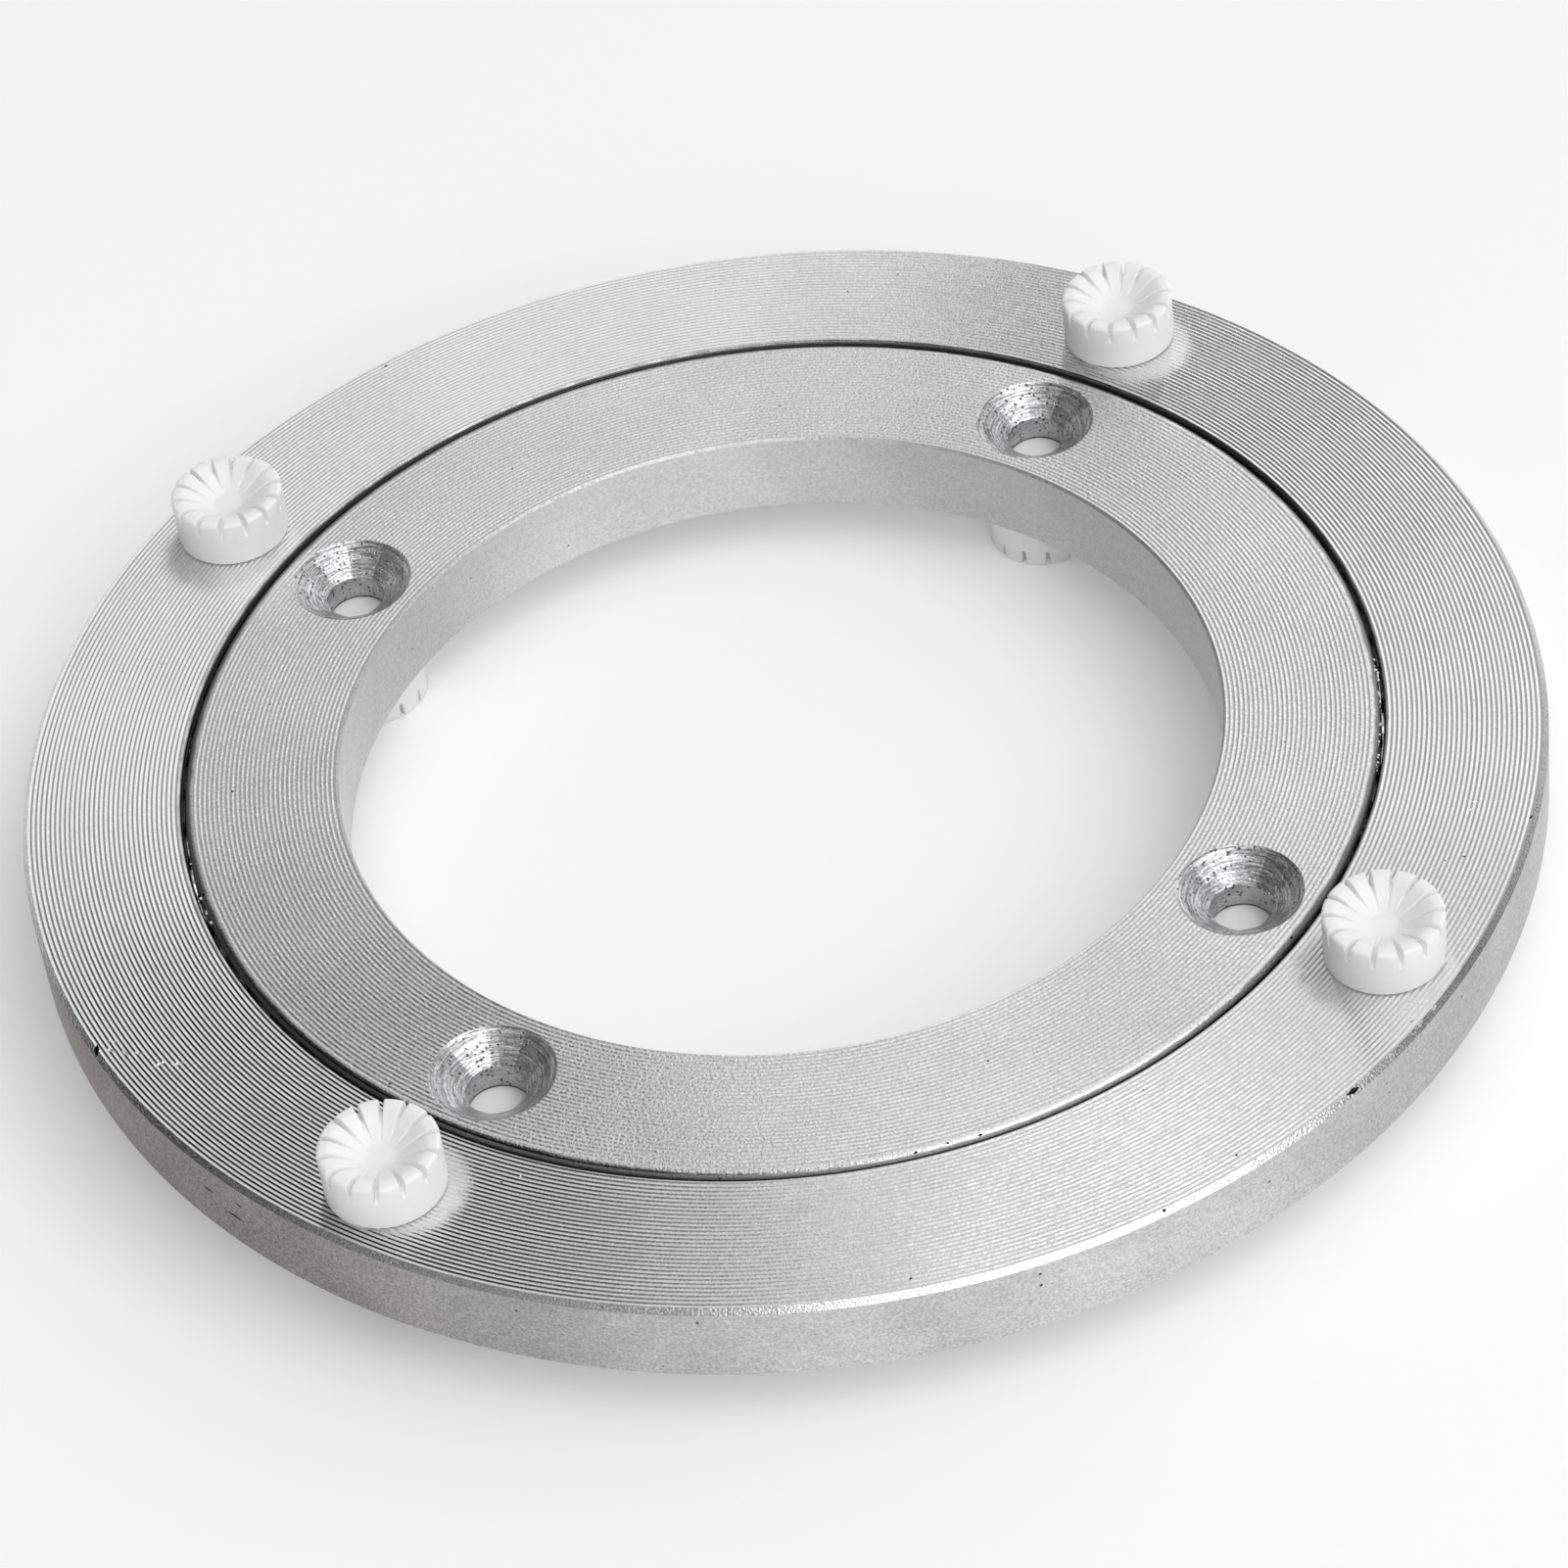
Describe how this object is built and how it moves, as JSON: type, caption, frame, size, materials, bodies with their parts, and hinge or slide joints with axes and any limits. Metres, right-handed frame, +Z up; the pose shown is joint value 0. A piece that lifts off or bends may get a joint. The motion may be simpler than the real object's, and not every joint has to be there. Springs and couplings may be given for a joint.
{
  "type": "lazy susan bearing",
  "caption": "Flat turntable bearing of two flush turned rings on a hidden ball race, with countersunk screw holes and notched plastic pads on both faces.",
  "frame": {"origin": "on the turning axis, in the plane that the lower pads stand on", "axes": "+Z up along the turning axis; the inner ring's screw holes lie on the diagonals between X and Y"},
  "size_m": [0.14, 0.14, 0.0192],
  "materials": {
    "ring_metal": "satin, fine turned lines",
    "pad_plastic": "soft moulded white",
    "ball_steel": "polished, greased",
    "screw_steel": "dark oxide"
  },
  "bodies": {
    "base": {"inner_ring": "ring_metal", "bottom_pad_1": "pad_plastic", "bottom_pad_2": "pad_plastic", "bottom_pad_3": "pad_plastic", "bottom_pad_4": "pad_plastic"},
    "turntable": {"outer_ring": "ring_metal", "filling_plug": "screw_steel", "top_pad_1": "pad_plastic", "top_pad_2": "pad_plastic", "top_pad_3": "pad_plastic", "top_pad_4": "pad_plastic"},
    "ball_set": {"bearing_balls": "ball_steel"}
  },
  "joints": [
    {"name": "turn", "type": "hinge", "parent": "base", "child": "turntable", "pos_m": [0, 0, 0.01005], "axis": [0, 0, 1], "continuous": true},
    {"name": "ball_orbit", "type": "hinge", "parent": "base", "child": "ball_set", "pos_m": [0, 0, 0.01005], "axis": [0, 0, 1], "continuous": true}
  ],
  "couplings": [
    {"joint": "ball_orbit", "follows": "turn", "ratio": 0.5102}
  ]
}
